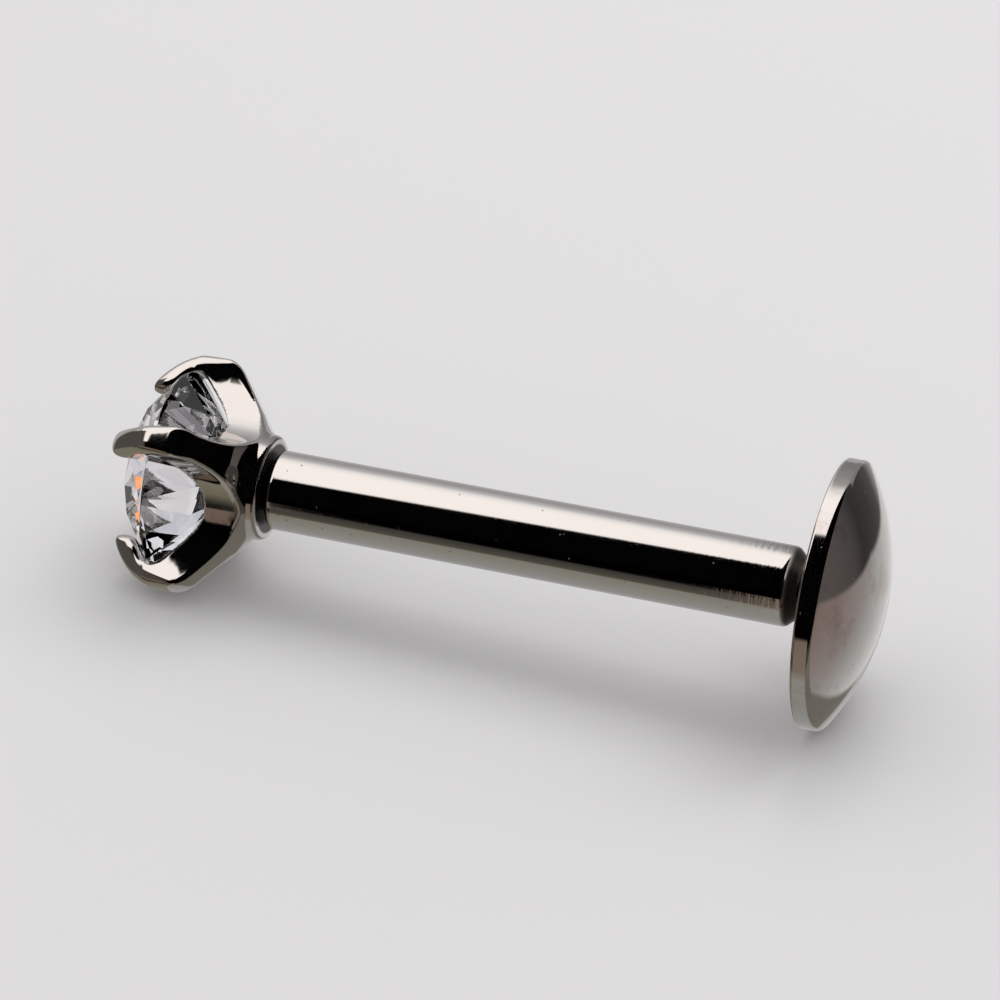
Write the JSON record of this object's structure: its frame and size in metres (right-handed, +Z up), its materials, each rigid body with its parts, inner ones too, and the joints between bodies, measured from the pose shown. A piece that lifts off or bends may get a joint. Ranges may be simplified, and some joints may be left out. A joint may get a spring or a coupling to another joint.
{
  "type": "labret stud",
  "caption": "Steel labret stud for a lip or ear piercing: domed disc back, hollow post and a screw-in top with a round stone held by claws.",
  "frame": {"origin": "on the surface that the stud lies on, under the middle of its bounding box", "axes": "+Z up from that surface, +X from the stone towards the disc along the stud, which slopes 2.8 degrees down to the stone"},
  "size_m": [0.0118, 0.004, 0.004],
  "materials": {
    "polished_steel": "mirror-polished surgical steel, with fine turning lines on the post",
    "cast_steel": "polished cast steel, edges softened by tumbling",
    "clear_stone": "clear cubic zirconia, brilliant cut"
  },
  "bodies": {
    "labret": {"back_disc": "polished_steel", "post": "polished_steel"},
    "top": {"claw_setting": "cast_steel", "stone": "clear_stone"}
  },
  "joints": [
    {"name": "top_unscrew", "type": "slide", "parent": "labret", "child": "top", "axis": [-0.9988, 0, -0.0481], "range_m": [0, 0.0023]}
  ]
}
